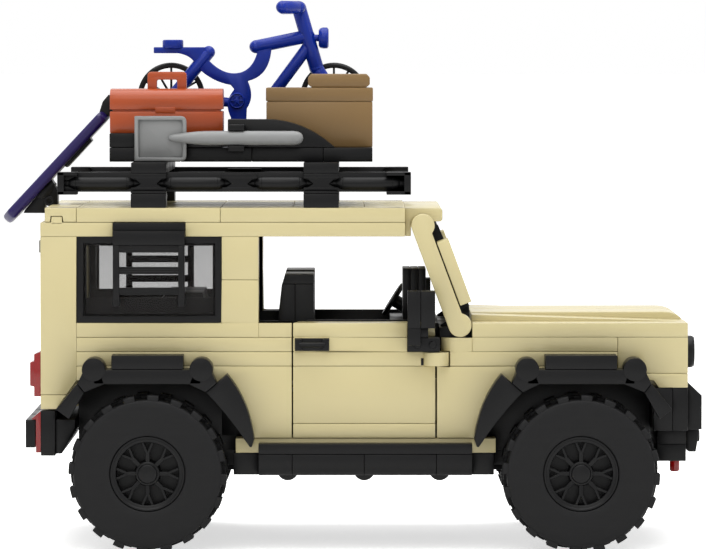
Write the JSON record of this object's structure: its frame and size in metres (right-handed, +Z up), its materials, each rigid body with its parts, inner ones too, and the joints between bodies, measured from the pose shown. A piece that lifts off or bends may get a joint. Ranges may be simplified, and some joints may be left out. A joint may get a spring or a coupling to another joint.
{
  "type": "toy lifted off-road 4x4 with a loaded roof rack",
  "caption": "Interlocking-brick toy of a lifted boxy off-road 4x4 with opening doors, big treaded tyres and a roof rack carrying a toolbox, crate, shovel, board and bicycle.",
  "frame": {"origin": "on the ground at the middle of the overall box", "axes": "+X towards the front of the vehicle, +Y towards its left side, +Z up"},
  "size_m": [0.1584, 0.08, 0.1225],
  "materials": {
    "tan_plastic": "smooth moulded ABS, tan",
    "black_plastic": "smooth moulded ABS, black",
    "smoke_window": "clear smoke-tinted plastic",
    "tyre_rubber": "matt moulded rubber",
    "clear_lens": "clear moulded plastic",
    "red_lens": "clear red moulded plastic",
    "grey_plastic": "smooth moulded ABS, light grey",
    "rust_plastic": "smooth moulded ABS, rust orange",
    "brown_plastic": "smooth moulded ABS, dark tan",
    "blue_plastic": "smooth moulded ABS, blue",
    "purple_plastic": "smooth moulded ABS, dark purple"
  },
  "bodies": {
    "body": {"chassis": "black_plastic", "cabin_floor": "tan_plastic", "wheel_boxes": "black_plastic", "load_floor": "tan_plastic", "rear_side_right": "tan_plastic", "rear_side_left": "tan_plastic", "front_fender_right": "tan_plastic", "front_fender_left": "tan_plastic", "roof": "tan_plastic", "roof_visor": "tan_plastic", "hood": "tan_plastic", "nose_panel": "tan_plastic", "grille": "black_plastic", "headlights": "clear_lens", "cowl": "black_plastic", "windscreen_posts": "tan_plastic", "windscreen_glass": "smoke_window", "side_window_frames": "black_plastic", "side_window_glass": "smoke_window", "side_ladders": "black_plastic", "dashboard": "black_plastic", "steering_wheel": "black_plastic", "seats": "black_plastic", "rear_seat": "black_plastic", "flare_rear_right": "black_plastic", "flare_rear_left": "black_plastic", "flare_front_right": "black_plastic", "flare_front_left": "black_plastic", "sills": "black_plastic", "bumper_front": "black_plastic", "bumper_rear": "black_plastic", "tow_hooks": "black_plastic", "tow_pin": "red_lens", "tail_lights": "red_lens", "axles": "black_plastic", "roof_rack": "black_plastic", "cargo_tray": "black_plastic", "toolbox": "rust_plastic", "crate": "brown_plastic", "shovel": "grey_plastic", "bike_frame": "blue_plastic", "board": "purple_plastic", "board_bracket": "black_plastic"},
    "wheel_rear_right": {"tyre_rear_right": "tyre_rubber", "rim_rear_right": "black_plastic"},
    "wheel_rear_left": {"tyre_rear_left": "tyre_rubber", "rim_rear_left": "black_plastic"},
    "wheel_front_right": {"tyre_front_right": "tyre_rubber", "rim_front_right": "black_plastic"},
    "wheel_front_left": {"tyre_front_left": "tyre_rubber", "rim_front_left": "black_plastic"},
    "right_door": {"door_right": "tan_plastic", "mirror_right": "black_plastic"},
    "left_door": {"door_left": "tan_plastic", "mirror_left": "black_plastic"},
    "tailgate": {"rear_door": "tan_plastic", "rear_door_glass": "smoke_window"},
    "bicycle_rear_wheel": {"bike_wheel_rear": "black_plastic"},
    "bicycle_front_wheel": {"bike_wheel_front": "black_plastic"}
  },
  "joints": [
    {"name": "wheel_rear_right_spin", "type": "hinge", "parent": "body", "child": "wheel_rear_right", "pos_m": [-0.0446, -0.0325, 0.0175], "axis": [0, 1, 0], "continuous": true},
    {"name": "wheel_rear_left_spin", "type": "hinge", "parent": "body", "child": "wheel_rear_left", "pos_m": [-0.0446, 0.0325, 0.0175], "axis": [0, 1, 0], "continuous": true},
    {"name": "wheel_front_right_spin", "type": "hinge", "parent": "body", "child": "wheel_front_right", "pos_m": [0.0514, -0.0325, 0.0175], "axis": [0, 1, 0], "continuous": true},
    {"name": "wheel_front_left_spin", "type": "hinge", "parent": "body", "child": "wheel_front_left", "pos_m": [0.0514, 0.0325, 0.0175], "axis": [0, 1, 0], "continuous": true},
    {"name": "right_door_hinge", "type": "hinge", "parent": "body", "child": "right_door", "pos_m": [0.0194, -0.0319, 0.0426], "axis": [0, 0, 1], "range_deg": [0, 65]},
    {"name": "left_door_hinge", "type": "hinge", "parent": "body", "child": "left_door", "pos_m": [0.0194, 0.0319, 0.0426], "axis": [0, 0, -1], "range_deg": [0, 65]},
    {"name": "tailgate_hinge", "type": "hinge", "parent": "body", "child": "tailgate", "pos_m": [-0.0687, -0.024, 0.0506], "axis": [0, 0, 1], "range_deg": [0, 90]},
    {"name": "bicycle_rear_wheel_spin", "type": "hinge", "parent": "body", "child": "bicycle_rear_wheel", "pos_m": [-0.041, 0.01235, 0.1007], "axis": [0, 1, 0], "continuous": true},
    {"name": "bicycle_front_wheel_spin", "type": "hinge", "parent": "body", "child": "bicycle_front_wheel", "pos_m": [-0.0035, 0.01235, 0.1007], "axis": [0, 1, 0], "continuous": true}
  ]
}
